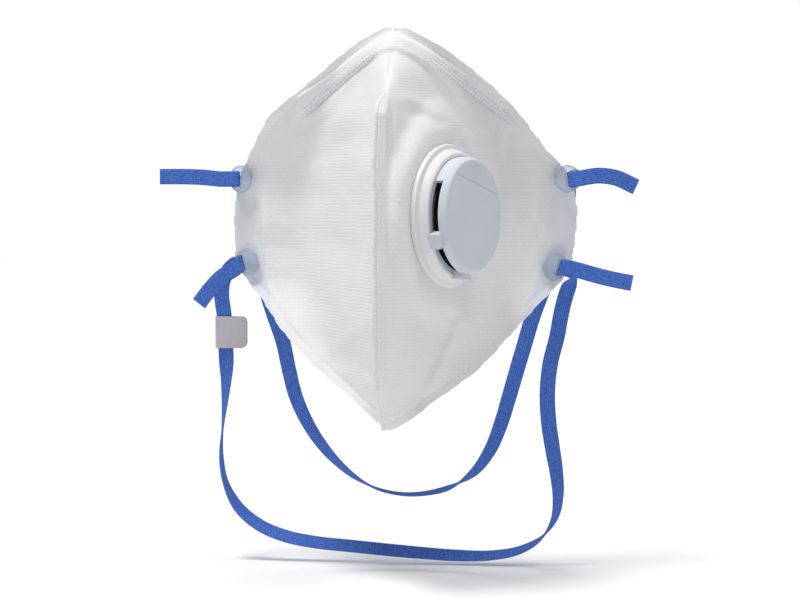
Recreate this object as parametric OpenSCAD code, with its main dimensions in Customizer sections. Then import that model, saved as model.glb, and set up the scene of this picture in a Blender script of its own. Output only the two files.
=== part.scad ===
// Flat-fold dust mask with an exhalation valve, opened out as it is worn.
// Millimetres. +Z is up, -Y is the front, +Y is the wearer's face. The origin is in the middle of
// the face opening, level with the cheeks. "left" is the -X side.

/* [Fabric] */
// thickness of the ribbed outer cover
cover_thick = 0.30; // [0.2:0.05:0.5]
// thickness of the support layer
support_thick = 0.30; // [0.2:0.05:0.5]
// thickness of each filter layer
filter_thick = 0.32; // [0.2:0.02:0.5]
// thickness of the inner lining
lining_thick = 0.30; // [0.2:0.05:0.5]
// how far the nose pocket stands proud of the layers behind it
pocket_rise = 2.2; // [1.8:0.1:2.8]
// how far the welded front seam stands out
seam_height = 5.0; // [3:0.5:7]

/* [Nose] */
// width of the aluminium nose clip
clip_width = 4.0; // [3:0.5:5]
// thickness of the nose clip
clip_thick = 0.8; // [0.5:0.1:1]
// reach of the clip each side of the nose
clip_reach = 36; // [30:1:38]
// thickness of the nose foam
foam_thick = 3.0; // [2:0.5:5]

/* [Valve] */
// diameter of the valve's flange
flange_d = 55.5; // [45:0.5:58]
// diameter of the valve's raised rim
rim_d = 47.6; // [40:0.2:50]
// diameter of the valve cover's cap
cap_d = 42; // [36:0.2:45]
// height of the cap's face above the fabric
cap_top = 12.3; // [8:0.1:14]
// radius of the sealing seat
seat_r = 13.6; // [11:0.2:16]
// thickness of the rubber flap
flap_thick = 0.5; // [0.3:0.1:0.8]

/* [Straps] */
// width of the elastic
strap_width = 6.4; // [5:0.2:8]
// thickness of the elastic
strap_thick = 0.9; // [0.6:0.1:1.2]
// height of a buckle's oval disc
buckle_high = 11.2; // [10:0.2:14]
// thickness of a buckle
buckle_thick = 1.6; // [1.2:0.1:2]

/* [Hidden] */
$fn = 64;
nodes_of_layers = ["outer_cover", "support_layer", "filter_layer_front", "filter_layer_back",
    "inner_lining"];
layer_gap = 0.04; // air between two layers

// The outline of the opened mask by height: half-width on each side and depth of the edge.
left_edge = [[-76, 0.8], [-73.5, 5], [-67.5, 13], [-55.5, 30], [-42, 46.5], [-29, 57.5],
    [-21.5, 64.6], [-14, 69.4], [-7, 70.2], [0, 70.6], [8, 70.4], [16, 69.4], [24, 66.4], [30, 63.2],
    [38, 58.6], [46, 52.6], [55.5, 39.7], [64.8, 26.6], [69.2, 20.6], [75.6, 9.6], [78.2, 4]];
right_edge = [[-76, 0.8], [-73.5, 6], [-67.5, 14], [-55.5, 31], [-42, 44], [-29, 56],
    [-21.5, 63.4], [-14, 67.6], [-7, 68.8], [0, 69.6], [8, 70], [16, 68.4], [24, 65.2], [30, 59.4],
    [38, 53.2], [46, 47.2], [55.5, 38], [64.8, 26.8], [69.2, 21], [75.6, 9.8], [78.2, 4]];
edge_depth = [[-76, -57], [-67.5, -49], [-55.5, -36], [-42, -21], [-29, -8], [-21.5, -3],
    [-14, -1.6], [0, -1.2], [16, -1.2], [24, -2.8], [30, -6], [38, -11], [46, -16],
    [55.5, -23], [64.8, -30.5], [75.6, -40], [78.2, -42]];
// The line of the front seam, how steeply the sides run back from it and how round the fold is.
front_depth = [[-76, -58.5], [-67.5, -63], [-55.5, -70], [-42, -76.5], [-29, -81.5], [-14, -84.5],
    [0, -85.4], [8, -85.4], [16, -84.6], [24, -82.5], [38, -75], [46, -69], [55.5, -61],
    [64.8, -53], [78.2, -42.5]];
side_slope = [[-76, 1.0], [-55.5, 1.5], [-42, 1.62], [-21.5, 1.84], [0, 1.94], [16, 1.92],
    [30, 1.8], [46, 1.6], [55.5, 1.5], [64.8, 1.35], [78.2, 1.1]];
fold_radius = [[-76, 0.4], [46, 0.4], [55.5, 2.5], [64.8, 5], [78.2, 7]];
cheek_round = [[-76, 0.6], [-55.5, 3], [-29, 6], [24, 6], [46, 4], [64.8, 2], [78.2, 1]];
seam_rise = [[-76, 3.2], [-67, seam_height], [42, seam_height], [50, 1.5]];
seam_start = 50; // above this the front is a plain fold
rows = [for (r = left_edge) r[0]];
half_shares = [0.06, 0.13, 0.22, 0.31, 0.4, 0.48, 0.56, 0.66, 0.78, 0.9, 1];
shares = concat([for (k = [len(half_shares) - 1 : -1 : 0]) -half_shares[k]], [0], half_shares);
flare = 0.12; // slope of the cheek flange

// The valve stands on the right side.
valve_at = [21, -46.2, 5.6];
valve_turn = 64;  // its axis, from straight ahead towards the right
valve_dip = -1;   // its axis, below level
valve_roll = -5;
valve_flat = [31, 44]; // the fabric is flat to the first radius and free from the second
valve_hole = 16;

// Where the buckles sit on the cheeks: middle, width and how far outboard the slot is.
upper_left = [-67.3, 20.2, 8.2, 0.6];
upper_right = [66.4, 20.2, 9.8, 0.5];
lower_left = [-64.7, -13.6, 8.4, 1.9];
lower_right = [61.8, -15.2, 9, 1.5];
slot_size = [1.5, 7];

function eased(a, b, v) = let(s = min(1, max(0, (v - a) / (b - a)))) s * s * (3 - 2 * s);
function half_width(x, z) = lookup(z, x < 0 ? left_edge : right_edge);

// Depth of the free fabric: two straight runs, the side and the flange, met by a round bend.
function free_depth(x, z) =
    let(r = lookup(z, fold_radius),
        side = lookup(z, front_depth) + lookup(z, side_slope) * (sqrt(x * x + r * r) - r),
        flange = lookup(z, edge_depth) + flare * (abs(x) - half_width(x, z)),
        bend = lookup(z, cheek_round))
    (side + flange) / 2 - sqrt(pow((side - flange) / 2, 2) + bend * bend);
function valve_plane(x, z) = valve_at[1]
    + ((x - valve_at[0]) * sin(valve_turn) - (z - valve_at[2]) * tan(valve_dip)) / cos(valve_turn);
function valve_reach(x, z) = norm([(x - valve_at[0]) / cos(valve_turn), z - valve_at[2]]);
function depth(x, z) =
    let(w = 1 - eased(valve_flat[0], valve_flat[1], valve_reach(x, z)))
    free_depth(x, z) * (1 - w) + valve_plane(x, z) * w;
// Depth through a layer of unit thickness, which grows where the fabric is steep.
function through(x, z) =
    let(a = max(abs(x), 1.5) * (x < 0 ? -1 : 1),
        run = depth(a + 0.5, z) - depth(a - 0.5, z),
        rise = depth(x, min(z + 0.5, 78.2)) - depth(x, z - 0.5))
    sqrt(1 + run * run + rise * rise);
function fabric_point(share, z, below) =
    let(x = share * half_width(share, z)) [x, depth(x, z) + below * through(x, z), z];
function pocket(share, z) = abs(share) > 0.95 || z > 78 || z < 40 ? 0 : pocket_rise;

// A closed solid between two grids of points that have the same rows and columns.
function side_of(grid) = [for (row = grid) for (p = row) p];
function grid_faces(n, m, flip) = [for (i = [0 : n - 2]) for (j = [0 : m - 2])
    for (f = [[0, 1, m + 1], [0, m + 1, m]]) let(b = i * m + j)
        flip ? [b + f[2], b + f[1], b + f[0]] : [b + f[0], b + f[1], b + f[2]]];
function rim_loop(n, m) = concat([for (j = [0 : m - 1]) j], [for (i = [1 : n - 1]) i * m + m - 1],
    [for (j = [m - 2 : -1 : 0]) (n - 1) * m + j], [for (i = [n - 2 : -1 : 1]) i * m]);
module between(front, back) {
    n = len(front);
    m = len(front[0]);
    rim = rim_loop(n, m);
    polyhedron(concat(side_of(front), side_of(back)), concat(
        grid_faces(n, m, true),
        [for (f = grid_faces(n, m, false)) [for (v = f) v + n * m]],
        [for (k = [0 : len(rim) - 1]) let(a = rim[k], b = rim[(k + 1) % len(rim)])
            for (f = [[a, b, b + n * m], [a, b + n * m, a + n * m]]) f]), 4);
}

// One layer of the fabric, from one depth in the stack to another, with the valve's hole.
module layer(top, bottom) {
    difference() {
        between([for (z = rows) [for (s = shares) fabric_point(s, z, top)]],
            [for (z = rows) [for (s = shares) fabric_point(s, z, bottom)]]);
        valve_bore();
    }
}
module at_valve() {
    translate(valve_at) rotate([0, 0, valve_turn]) rotate([90 + valve_dip, 0, 0])
        rotate([0, 0, valve_roll]) children();
}
module valve_bore() {
    at_valve() translate([0, 0, -9]) cylinder(r = valve_hole, h = 15);
}

// The cover: it stands out at the nose pocket, and the seam's ridge grows between its middle columns.
cover_left = [for (s = shares) if (s < 0) s];
cover_right = [for (s = shares) if (s > 0) s];
seam_half = 0.7; // half the thickness of the seam
function cover_row(z, below, ridge) = concat(
    [for (s = cover_left) fabric_point(s, z, below - pocket(s, z))], ridge,
    [for (s = cover_right) fabric_point(s, z, below - pocket(s, z))]);
function cover_depth(x, z, below) = depth(x, z) + (below - pocket(0, z)) * through(x, z);
function seam_ridge(z) = let(h = lookup(z, seam_rise), y = cover_depth(0, z, 0)) [
    [-seam_half, cover_depth(seam_half, z, 0), z], [-0.8 * h - 0.3, y - 0.6 * h + 0.4, z],
    [-0.8 * h + 0.4, y - 0.6 * h - 0.4, z], [seam_half, cover_depth(seam_half, z, 0), z]];
function fold_ridge(z, below) = [for (x = [-seam_half, -seam_half / 3, seam_half / 3, seam_half])
    [x, cover_depth(x, z, below), z]];
module outer_cover() {
    color([0.93, 0.94, 0.95])
    difference() {
        between([for (z = rows) cover_row(z, 0, z < seam_start ? seam_ridge(z) : fold_ridge(z, 0))],
            [for (z = rows) cover_row(z, cover_thick, fold_ridge(z, cover_thick))]);
        valve_bore();
    }
}
support_top = cover_thick + layer_gap;
front_top = support_top + support_thick + layer_gap;
back_top = front_top + filter_thick + layer_gap;
lining_top = back_top + filter_thick + layer_gap;
stack = lining_top + lining_thick;
module support_layer() {
    color([0.86, 0.88, 0.9]) layer(support_top, support_top + support_thick);
}
module filter_layer_front() {
    color([0.9, 0.9, 0.9]) layer(front_top, front_top + filter_thick);
}
module filter_layer_back() {
    color([0.88, 0.88, 0.9]) layer(back_top, back_top + filter_thick);
}
module inner_lining() {
    color([0.95, 0.95, 0.95]) layer(lining_top, stack);
}

// Strips that follow the top edge over the nose, a given distance below it.
nose_steps = [-1, -0.8, -0.6, -0.4, -0.2, -0.08, 0, 0.08, 0.2, 0.4, 0.6, 0.8, 1];
function brow(x) = 79.6 - 0.62 * sqrt(x * x + 16); // height of the top edge
function nose_point(x, down, below) = let(z = brow(x) - down) [x, depth(x, z) + below * through(x, z), z];
module nose_strip(reach, down, width, top, bottom) {
    between([for (d = [down + width, down]) [for (s = nose_steps) nose_point(s * reach, d, top)]],
        [for (d = [down + width, down]) [for (s = nose_steps) nose_point(s * reach, d, bottom)]]);
}
module nose_clip() {
    color([0.75, 0.76, 0.78]) nose_strip(clip_reach, 2.4, clip_width, -0.4 - clip_thick, -0.4);
}
module nose_foam() {
    color([0.85, 0.85, 0.86]) nose_strip(clip_reach - 2, 3, 10, stack + 1.4, stack + 1.4 + foam_thick);
}

// The valve, drawn with its axis up the page: the fabric's face is at 0, the wearer is below.
flange_r = flange_d / 2;
rim_r = rim_d / 2;
cap_r = cap_d / 2;
cover_r = rim_r - 1.25;
base_low = 0.5;
flange_top = 1.9;
rim_top = 5.4;
seat_top = 3.0;
spigot_r = valve_hole - 0.3;
ring_top = -stack - 0.5;
ring_low = ring_top - 1.3;
hinge_up = 12.8; // from the axis up to the flap's hinge line
module ring(outer, inner, low, high) {
    translate([0, 0, low]) difference() {
        cylinder(r = outer, h = high - low);
        translate([0, 0, -1]) cylinder(r = inner, h = high - low + 2);
    }
}
module valve_base() {
    color([0.92, 0.93, 0.95]) at_valve() {
        rotate_extrude($fn = 96) polygon([[seat_r, ring_low], [spigot_r, ring_low],
            [spigot_r, base_low], [flange_r - 0.5, base_low], [flange_r, 0.9],
            [flange_r - 0.4, flange_top], [rim_r + 0.5, flange_top + 0.2], [rim_r, rim_top - 0.4],
            [rim_r - 0.35, rim_top], [rim_r - 1.1, rim_top], [rim_r - 1.1, flange_top],
            [seat_r + 1.1, flange_top], [seat_r + 0.8, seat_top], [seat_r, seat_top]]);
        for (a = [0 : 60 : 300]) rotate([0, 0, a])
            translate([0, -0.6, -1.2]) cube([seat_r + 0.5, 1.2, 2]);
        translate([0, 0, -1.4]) cylinder(r = 2.4, h = 3.4);
    }
}
module valve_inner_ring() {
    color([0.9, 0.91, 0.93]) at_valve() ring(21, spigot_r + 0.06, ring_low, ring_top);
}
// An open wedge of the side wall, between two angles counted clockwise from the top.
module side_window(from, to) {
    translate([0, 0, rim_top + 0.5]) linear_extrude(cap_top - 2.9 - rim_top - 0.5)
        polygon(concat([[0, 0]], [for (k = [0 : 4]) let(a = from + (to - from) * k / 4)
            40 * [sin(a), cos(a)]]));
}
windows = [[52, 121], [130, 176], [187, 236], [248, 302]];
module valve_cover() {
    color([0.9, 0.92, 0.95]) at_valve() {
        difference() {
            rotate_extrude($fn = 96) polygon([[cover_r, flange_top + 0.1], [cover_r, cap_top - 3],
                [cap_r + 0.35, cap_top - 2.4], [cap_r + 0.5, cap_top - 1.7],
                [cap_r, cap_top - 0.7], [cap_r - 0.8, cap_top - 0.15], [cap_r - 1.8, cap_top],
                [0, cap_top], [0, cap_top - 1.2], [cover_r - 1.5, cap_top - 1.2],
                [cover_r - 1.5, flange_top + 0.1]]);
            for (w = windows) side_window(w[0], w[1]);
        }
        translate([-7, hinge_up + 0.15, seat_top + 0.6]) cube([14, 1.4, cap_top - 1 - seat_top - 0.6]);
    }
}
module valve_diaphragm() {
    color([0.06, 0.06, 0.07]) at_valve() translate([0, 0, seat_top + 0.03]) difference() {
        cylinder(r = seat_r + 1.6, h = flap_thick);
        translate([-20, hinge_up, -1]) cube([40, 10, 3]);
    }
}

// A buckle: an oval disc with a raised rim on the cheek. The elastic comes out through its slot.
buckle_back = -5.4; // the discs' backs, clear of the cheeks and of the elastic behind them
rim_height = 0.25;
module oval(width, share, high) {
    scale([width / buckle_high * share, share, 1]) cylinder(d = buckle_high, h = high);
}
module buckle(at, out, tilt) {
    color([0.8, 0.86, 0.92, 0.8])
    translate([at[0], buckle_back, at[1]]) rotate([0, tilt, 0]) rotate([90, 0, 0]) difference() {
        union() {
            oval(at[2], 1, buckle_thick);
            difference() {
                oval(at[2], 0.96, buckle_thick + rim_height);
                translate([0, 0, buckle_thick]) oval(at[2], 0.86, 1);
            }
        }
        translate([out * at[3] - slot_size[0] / 2, -slot_size[1] / 2, -1])
            cube([slot_size[0], slot_size[1], 4]);
    }
}
module strap_buckle_upper_left() { buckle(upper_left, -1, 0); }
module strap_buckle_upper_right() { buckle(upper_right, 1, 0); }
module strap_buckle_lower_left() { buckle(lower_left, -1, -14); }
module strap_buckle_lower_right() { buckle(lower_right, 1, 14); }

// The elastic: each row is a place on the middle of the strap and the way that its width lies.
head_route = [
    [[-68.6, -4.4, 20.2], [0, 0, 1]], [[-70, -3.7, 20.1], [0, 0, 1]], [[-70.6, -1.2, 20], [0, 0, 1]],
    [[-69.6, 1.5, 19.3], [-0.2, 0, 1]], [[-67.6, 3.2, 16], [-0.8, 0, 0.8]],
    [[-66.2, 3.8, 10], [-1, 0, 0.3]], [[-65.6, 4, 1], [-1, 0, 0.1]], [[-63, 4, -12], [-1, 0, 0]],
    [[-59, 4, -24], [-1, 0, -0.2]], [[-55.5, 4, -35], [-1, 0.1, -0.3]],
    [[-51.5, 4.5, -47], [-1, 0.1, -0.2]], [[-49, 4.5, -58.5], [-1, 0.2, -0.2]],
    [[-46.5, 5, -69], [-1, 0.3, -0.3]], [[-42, 5, -79.5], [-1, 0.5, -0.4]],
    [[-36, 5, -89], [-0.9, 0.8, -0.6]], [[-29, 5, -97], [-0.6, 1, -0.5]],
    [[-21, 5, -103.5], [-0.3, 1, -0.3]], [[-12, 5, -108], [0, 1, -0.1]], [[-2, 5, -110], [0, 1, 0]],
    [[8.5, 5, -109.5], [0, 1, 0.1]], [[19, 5, -106.5], [0.2, 1, 0.2]],
    [[28, 5, -100.5], [0.5, 1, -0.4]], [[34.5, 5, -91.5], [0.9, 0.8, -0.5]],
    [[39, 5, -80.5], [1, 0.5, -0.4]], [[42.3, 5, -69.5], [1, 0.3, -0.3]],
    [[45.3, 4.5, -59], [1, 0.2, -0.2]], [[48.8, 4.5, -47], [1, 0.1, -0.2]],
    [[52.2, 4, -35.5], [1, 0.1, -0.2]], [[56.5, 4, -24], [1, 0, -0.2]], [[61, 4, -12], [1, 0, -0.1]],
    [[64.6, 4, 1], [1, 0, 0]], [[65.6, 3.8, 10], [1, 0, 0.3]], [[66.8, 3.2, 16], [0.8, 0, 0.8]],
    [[68.8, 1.5, 19.3], [0.3, 0, 1]], [[69.8, -1.2, 20.6], [0.25, 0, 1]],
    [[69.2, -3.7, 20.8], [0.2, 0, 1]], [[67.6, -4.4, 20.4], [0.1, 0, 1]]];
neck_route = [
    [[-67.5, -4.45, -14.3], [-0.25, 0, 1]], [[-68.8, -4.4, -14.6], [-0.25, 0, 1]],
    [[-70.5, -3.9, -15], [-0.25, 0, 1]], [[-71.6, -1.6, -15.6], [-0.3, 0, 1]],
    [[-73.6, 1.6, -17.5], [-0.8, 0, 0.6]], [[-76.2, 3, -21.5], [-1, 0, 0.2]],
    [[-77, 3.5, -27], [-1, 0, 0]], [[-76, 3.5, -36], [-1, 0, 0]], [[-75.6, 3.5, -45], [-1, 0, 0]],
    [[-75.2, 3.6, -54], [-1, 0.05, 0]], [[-75.4, 4.2, -63], [-0.8, 0.6, 0]],
    [[-76.2, 4.8, -73], [-0.5, 0.9, 0]], [[-77.3, 5.5, -84], [-0.2, 1, 0]],
    [[-78, 6.2, -95], [0, 1, 0]], [[-76.2, 7, -107], [0.1, 1, 0.1]], [[-71, 7.6, -117], [0.3, 1, 0.5]],
    [[-62.5, 8, -124.3], [0.2, 1, 0.8]], [[-51, 8, -129], [0, 1, 0.9]], [[-38.5, 8, -131.3], [0, 1, 0.9]],
    [[-24, 8, -132.6], [0, 1, 0.9]], [[-9, 8, -133.9], [0, 1, 0.9]], [[6, 8, -135], [0, 1, 0.8]],
    [[21, 8, -135.8], [0, 1, 0.7]], [[35, 8, -135.5], [0, 1, 0.5]], [[47, 8, -133], [0.1, 1, 0.4]],
    [[56, 8, -127.6], [0.3, 1, 0.3]], [[61.2, 7.8, -119.5], [0.5, 1, 0.1]],
    [[62.6, 7.2, -110], [0.7, 0.8, 0]], [[61.9, 6.4, -100.5], [0.9, 0.6, 0]],
    [[60.3, 5.6, -90.5], [1, 0.3, 0]], [[58.7, 5, -79.5], [1, 0.1, 0]], [[58.1, 4.5, -67], [1, 0, 0]],
    [[59.4, 4, -54.5], [1, 0, 0.1]], [[62, 4, -44], [1, 0, 0.2]], [[63.6, 4, -35], [1, 0, 0.3]],
    [[65.4, 3.7, -27.5], [1, 0, 0.4]], [[67.4, 2.4, -21.8], [0.8, 0, 0.7]],
    [[68.9, -1.4, -17.6], [0.3, 0, 1]], [[68.2, -3.9, -16.8], [0.25, 0, 1]],
    [[66.2, -4.6, -16.1], [0.25, 0, 1]], [[64.2, -4.65, -15.6], [0.25, 0, 1]]];
head_left_end = [[[-67.9, -7.8, 20.2], [0, 0, 1]], [[-70.5, -8.2, 20.2], [0, 0, 1]],
    [[-75, -8.2, 20.2], [0, 0, 1]], [[-81, -7.9, 20.8], [0, 0, 1]], [[-90, -7.3, 21.2], [0, 0, 1]],
    [[-100.5, -6.3, 21.2], [0, 0, 1]]];
head_right_end = [[[67, -7.8, 19.6], [-0.1, 0.2, 1]], [[69.4, -8.3, 20], [-0.2, 0.2, 1]],
    [[73.6, -8.2, 20.8], [-0.1, 0.1, 1]], [[77.4, -8.1, 21.4], [0, 0, 1]],
    [[85, -7.7, 20.7], [0.2, 0, 1]], [[93.6, -7.3, 16.9], [0.4, 0, 1]]];
neck_left_end = [[[-66.7, -7.8, -14.1], [-0.3, 0, 1]], [[-69.6, -8.2, -15.8], [-0.5, 0, 1]],
    [[-74.2, -8.2, -19.4], [-0.7, 0, 0.9]], [[-79.4, -7.9, -24.6], [-0.8, 0, 0.8]],
    [[-84.3, -7.4, -30.8], [-0.9, 0, 0.6]]];
neck_right_end = [[[63.4, -7.8, -15.1], [0.25, 0, 1]], [[66.4, -8.2, -15.5], [0.2, 0, 1]],
    [[70.8, -8.2, -16.5], [0.2, 0, 1]], [[76, -8.1, -18], [0.2, 0, 1]],
    [[84, -7.8, -20], [0.2, 0, 1]], [[92.2, -7.3, -21.6], [0.1, 0, 1]]];

function unit(v) = v / norm(v);
module band(route) {
    last = len(route) - 1;
    rings = [for (i = [0 : last]) let(
            along = unit(route[min(i + 1, last)][0] - route[max(i - 1, 0)][0]),
            wide = unit(route[i][1] - (route[i][1] * along) * along),
            thick = cross(along, wide),
            w = wide * strap_width / 2, t = thick * strap_thick / 2)
        [for (c = [w + t, t - w, -w - t, w - t]) route[i][0] + c]];
    polyhedron([for (r = rings) for (p = r) p], concat([[0, 3, 2, 1]],
        [for (i = [0 : last - 1]) for (k = [0 : 3]) let(a = 4 * i + k, b = 4 * i + (k + 1) % 4)
            for (f = [[a, b, b + 4], [a, b + 4, a + 4]]) f],
        [[for (k = [0 : 3]) 4 * last + k]]), 4);
}
elastic_color = [0.24, 0.37, 0.68];
module head_strap() { color(elastic_color) band(head_route); }
module neck_strap() { color(elastic_color) band(neck_route); }
module head_strap_left_end() { color(elastic_color) band(head_left_end); }
module head_strap_right_end() { color(elastic_color) band(head_right_end); }
module neck_strap_left_end() { color(elastic_color) band(neck_left_end); }
module neck_strap_right_end() { color(elastic_color) band(neck_right_end); }

// The folded label: two leaves and their fold, round the neck strap.
tag_size = 13.2;
tag_paper = 0.2;
tag_gap = 1.6; // between the leaves, for the strap
tag_corner = [-79.8, 3.5 - tag_gap / 2 - tag_paper, -49.8];
module strap_tag() {
    color([0.93, 0.93, 0.96]) translate(tag_corner) difference() {
        cube([tag_size, tag_gap + 2 * tag_paper, tag_size]);
        translate([tag_paper, tag_paper, -1]) cube([tag_size, tag_gap, tag_size + 2]);
    }
}

outer_cover();
support_layer();
filter_layer_front();
filter_layer_back();
inner_lining();
nose_clip();
nose_foam();
valve_base();
valve_cover();
valve_diaphragm();
valve_inner_ring();
strap_buckle_upper_left();
strap_buckle_upper_right();
strap_buckle_lower_left();
strap_buckle_lower_right();
head_strap();
neck_strap();
head_strap_left_end();
head_strap_right_end();
neck_strap_left_end();
neck_strap_right_end();
strap_tag();
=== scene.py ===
import math

import bmesh
import bpy
import numpy as np
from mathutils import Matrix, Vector


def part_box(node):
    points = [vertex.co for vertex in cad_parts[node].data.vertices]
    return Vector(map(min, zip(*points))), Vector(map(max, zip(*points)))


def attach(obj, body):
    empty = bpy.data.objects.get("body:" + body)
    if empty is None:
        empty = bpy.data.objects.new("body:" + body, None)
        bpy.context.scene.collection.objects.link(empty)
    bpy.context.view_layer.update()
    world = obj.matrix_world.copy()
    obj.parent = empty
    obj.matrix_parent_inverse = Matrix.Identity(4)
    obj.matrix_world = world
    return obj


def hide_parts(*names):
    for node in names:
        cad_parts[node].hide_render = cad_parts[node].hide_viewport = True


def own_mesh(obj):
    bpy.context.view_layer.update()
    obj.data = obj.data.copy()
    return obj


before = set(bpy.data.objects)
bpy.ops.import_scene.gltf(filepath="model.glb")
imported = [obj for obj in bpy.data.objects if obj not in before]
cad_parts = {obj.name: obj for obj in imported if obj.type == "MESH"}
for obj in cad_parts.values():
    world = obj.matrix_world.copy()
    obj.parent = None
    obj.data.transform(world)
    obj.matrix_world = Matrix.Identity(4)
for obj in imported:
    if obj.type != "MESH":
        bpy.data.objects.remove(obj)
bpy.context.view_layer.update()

# The camera looks at the opened mask from the front, a little from its valve side and a little
# from above, with a long lens. Lengths are in millimetres from here on, turned to metres by mm.
mm = 0.001
camera_data = bpy.data.cameras.new("camera")
camera = bpy.data.objects.new("camera", camera_data)
bpy.context.collection.objects.link(camera)
bpy.context.scene.camera = camera
camera_turn, camera_rise = math.radians(6), math.radians(3)
camera_back = Vector((math.sin(camera_turn) * math.cos(camera_rise),
                      -math.cos(camera_turn) * math.cos(camera_rise), math.sin(camera_rise)))
camera.location = Vector((0.001, -0.030, -0.0277)) + 0.8 * camera_back
camera.rotation_mode = "QUATERNION"
camera.rotation_quaternion = (-camera_back).to_track_quat("-Z", "Y")
camera_data.sensor_width = 36
camera_data.lens = 91.17
camera_data.clip_start, camera_data.clip_end = 0.01, 20

# The elastic straps: flat knitted rubber-cored bands, one for the head and one for the neck. Each
# runs through the slots of two buckles and hangs as a loop. The routes are the strap's own points,
# each with the direction that its width lies in.
strap_width, strap_thick = 6.4, 0.9
head_route = [
    [-67.8, -5.2, 20.2, 0, 0, 1], [-68.9, -4.4, 20.2, 0, 0, 1], [-70, -3.7, 20.1, 0, 0, 1],
    [-70.6, -1.2, 20, 0, 0, 1],
    [-69.6, 1.5, 19.3, -0.2, 0, 1], [-67.6, 3.2, 16, -0.8, 0, 0.8], [-66.2, 3.8, 10, -1, 0, 0.3],
    [-65.6, 4, 1, -1, 0, 0.1], [-63, 4, -12, -1, 0, 0], [-59, 4, -24, -1, 0, -0.2],
    [-55.5, 4, -35, -1, 0.1, -0.3], [-51.5, 4.5, -47, -1, 0.1, -0.2],
    [-49, 4.5, -58.5, -1, 0.2, -0.2], [-46.5, 5, -69, -1, 0.3, -0.3],
    [-42, 5, -79.5, -1, 0.5, -0.4], [-36, 5, -89, -0.9, 0.8, -0.6], [-29, 5, -97, -0.6, 1, -0.5],
    [-21, 5, -103.5, -0.3, 1, -0.3], [-12, 5, -108, 0, 1, -0.1], [-2, 5, -110, 0, 1, 0],
    [8.5, 5, -109.5, 0, 1, 0.1], [19, 5, -106.5, 0.2, 1, 0.2], [28, 5, -100.5, 0.5, 1, -0.4],
    [34.5, 5, -91.5, 0.9, 0.8, -0.5], [39, 5, -80.5, 1, 0.5, -0.4],
    [42.3, 5, -69.5, 1, 0.3, -0.3], [45.3, 4.5, -59, 1, 0.2, -0.2],
    [48.8, 4.5, -47, 1, 0.1, -0.2], [52.2, 4, -35.5, 1, 0.1, -0.2], [56.5, 4, -24, 1, 0, -0.2],
    [61, 4, -12, 1, 0, -0.1], [64.6, 4, 1, 1, 0, 0], [65.6, 3.8, 10, 1, 0, 0.3],
    [66.8, 3.2, 16, 0.8, 0, 0.8], [68.8, 1.5, 19.3, 0.3, 0, 1], [69.8, -1.2, 20.6, 0.25, 0, 1],
    [69.2, -3.7, 20.8, 0.2, 0, 1], [67.8, -4.4, 20.4, 0.1, 0, 1],
    [66.9, -5.2, 19.9, 0, 0, 1]]
neck_route = [
    [-66.5, -5.2, -14.1, -0.25, 0, 1], [-67.7, -4.45, -14.3, -0.25, 0, 1],
    [-68.8, -4.4, -14.6, -0.25, 0, 1],
    [-70.5, -3.9, -15, -0.25, 0, 1], [-71.6, -1.6, -15.6, -0.3, 0, 1],
    [-73.6, 1.6, -17.5, -0.8, 0, 0.6], [-76.2, 3, -21.5, -1, 0, 0.2], [-77, 3.5, -27, -1, 0, 0],
    [-76, 3.5, -36, -1, 0, 0], [-75.6, 3.5, -45, -1, 0, 0], [-75.2, 3.6, -54, -1, 0.05, 0],
    [-75.4, 4.2, -63, -0.8, 0.6, 0], [-76.2, 4.8, -73, -0.5, 0.9, 0],
    [-77.3, 5.5, -84, -0.2, 1, 0], [-78, 6.2, -95, 0, 1, 0], [-76.2, 7, -107, 0.1, 1, 0.1],
    [-71, 7.6, -117, 0.3, 1, 0.5], [-62.5, 8, -124.3, 0.2, 1, 0.8], [-51, 8, -129, 0, 1, 0.9],
    [-38.5, 8, -131.3, 0, 1, 0.9], [-24, 8, -132.6, 0, 1, 0.9], [-9, 8, -133.9, 0, 1, 0.9],
    [6, 8, -135, 0, 1, 0.8], [21, 8, -135.8, 0, 1, 0.7], [35, 8, -135.5, 0, 1, 0.5],
    [47, 8, -133, 0.1, 1, 0.4], [56, 8, -127.6, 0.3, 1, 0.3], [61.2, 7.8, -119.5, 0.5, 1, 0.1],
    [62.6, 7.2, -110, 0.7, 0.8, 0], [61.9, 6.4, -100.5, 0.9, 0.6, 0],
    [60.3, 5.6, -90.5, 1, 0.3, 0], [58.7, 5, -79.5, 1, 0.1, 0], [58.1, 4.5, -67, 1, 0, 0],
    [59.4, 4, -54.5, 1, 0, 0.1], [62, 4, -44, 1, 0, 0.2], [63.6, 4, -35, 1, 0, 0.3],
    [65.4, 3.7, -27.5, 1, 0, 0.4], [67.4, 2.4, -21.8, 0.8, 0, 0.7],
    [68.9, -1.4, -17.6, 0.3, 0, 1], [68.2, -3.9, -16.8, 0.25, 0, 1],
    [66.2, -4.6, -16.1, 0.25, 0, 1], [64.4, -4.65, -15.6, 0.25, 0, 1],
    [63.3, -5.2, -15.5, 0.25, 0, 1]]
head_left_end = [
    [-67.8, -5.3, 20.2, 0, 0, 1], [-67.8, -6.9, 20.2, 0, 0, 1], [-68.6, -7.8, 20.2, 0, 0, 1],
    [-70.5, -8.2, 20.2, 0, 0, 1], [-75, -8.2, 20.2, 0, 0, 1],
    [-81, -7.9, 20.8, 0, 0, 1], [-90, -7.3, 21.2, 0, 0, 1], [-100.5, -6.3, 21.2, 0, 0, 1]]
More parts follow.
